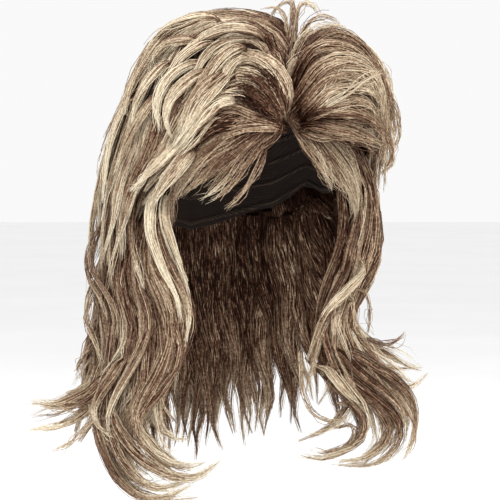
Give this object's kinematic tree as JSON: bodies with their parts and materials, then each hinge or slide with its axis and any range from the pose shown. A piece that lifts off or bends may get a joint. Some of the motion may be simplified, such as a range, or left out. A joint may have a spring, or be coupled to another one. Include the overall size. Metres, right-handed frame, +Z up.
{
  "type": "layered wig",
  "caption": "Long layered costume wig with a teased crown, a parted fringe and dark roots, on a stretch cap that is open at the face and neck.",
  "frame": {"origin": "inside of the cap's crown, where the top of the head comes", "axes": "-Y is the way the wearer faces, +X is the wearer's left, +Z is up"},
  "size_m": [0.3128, 0.2434, 0.3911],
  "materials": {
    "cap": "matte",
    "crown": "satin",
    "fringe_right": "satin",
    "fringe_left": "satin",
    "side_right": "satin",
    "side_left": "satin",
    "back_hair": "satin"
  },
  "bodies": {
    "root": {"cap": "cap", "crown": "crown", "fringe_right": "fringe_right", "fringe_left": "fringe_left", "side_right": "side_right", "side_left": "side_left", "back_hair": "back_hair"}
  },
  "joints": []
}
